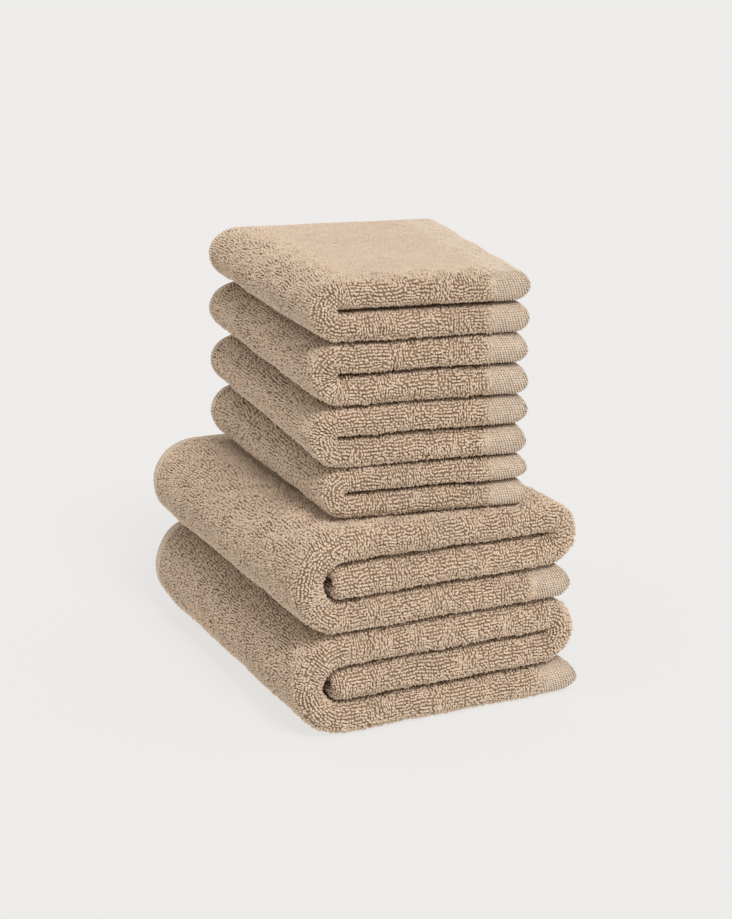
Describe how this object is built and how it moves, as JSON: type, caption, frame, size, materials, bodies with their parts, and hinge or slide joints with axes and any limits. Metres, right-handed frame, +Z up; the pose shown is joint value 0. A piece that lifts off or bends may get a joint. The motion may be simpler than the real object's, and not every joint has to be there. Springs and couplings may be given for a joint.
{
  "type": "bath towel set",
  "caption": "Folded terry bath towels with folded hand towels stacked on them, each with woven end borders and a rounded fold at the left.",
  "frame": {"origin": "on the surface that the stack stands on, under the middle of the stack", "axes": "+Z up, +X along the front to the right, +Y to the back; the rounded folds are at -X"},
  "size_m": [0.2614, 0.335, 0.3655],
  "materials": {
    "terry": "beige cotton loop pile, matt",
    "woven_border": "beige flat-woven twill band, matt",
    "side_hem": "beige ribbed, stitched side hem, matt"
  },
  "bodies": {
    "bath_towel_lower": {"bath_towel_lower_terry": "terry", "bath_towel_lower_hem": "side_hem", "bath_towel_lower_outer_border": "woven_border", "bath_towel_lower_inner_border": "woven_border"},
    "bath_towel_upper": {"bath_towel_upper_terry": "terry", "bath_towel_upper_hem": "side_hem", "bath_towel_upper_outer_border": "woven_border", "bath_towel_upper_inner_border": "woven_border"},
    "hand_towel_1": {"hand_towel_1_terry": "terry", "hand_towel_1_upper_border": "woven_border", "hand_towel_1_lower_border": "woven_border"},
    "hand_towel_2": {"hand_towel_2_terry": "terry", "hand_towel_2_upper_border": "woven_border", "hand_towel_2_lower_border": "woven_border"},
    "hand_towel_3": {"hand_towel_3_terry": "terry", "hand_towel_3_upper_border": "woven_border", "hand_towel_3_lower_border": "woven_border"},
    "hand_towel_4": {"hand_towel_4_lower_terry": "terry", "hand_towel_4_lower_border": "woven_border"},
    "hand_towel_4_flap": {"hand_towel_4_upper_terry": "terry", "hand_towel_4_upper_border": "woven_border"}
  },
  "joints": [
    {"name": "bath_towel_upper_lift", "type": "slide", "parent": "bath_towel_lower", "child": "bath_towel_upper", "axis": [0, 0, 1], "range_m": [0, 0.08]},
    {"name": "hand_towel_1_lift", "type": "slide", "parent": "bath_towel_upper", "child": "hand_towel_1", "axis": [0, 0, 1], "range_m": [0, 0.08]},
    {"name": "hand_towel_2_lift", "type": "slide", "parent": "hand_towel_1", "child": "hand_towel_2", "axis": [0, 0, 1], "range_m": [0, 0.08]},
    {"name": "hand_towel_3_lift", "type": "slide", "parent": "hand_towel_2", "child": "hand_towel_3", "axis": [0, 0, 1], "range_m": [0, 0.08]},
    {"name": "hand_towel_4_lift", "type": "slide", "parent": "hand_towel_3", "child": "hand_towel_4", "axis": [0, 0, 1], "range_m": [0, 0.08]},
    {"name": "hand_towel_4_fold", "type": "hinge", "parent": "hand_towel_4", "child": "hand_towel_4_flap", "pos_m": [-0.09437, -0.0039, 0.3351], "axis": [-0.08, -0.9962, 0.0357], "range_deg": [0, 35]}
  ]
}
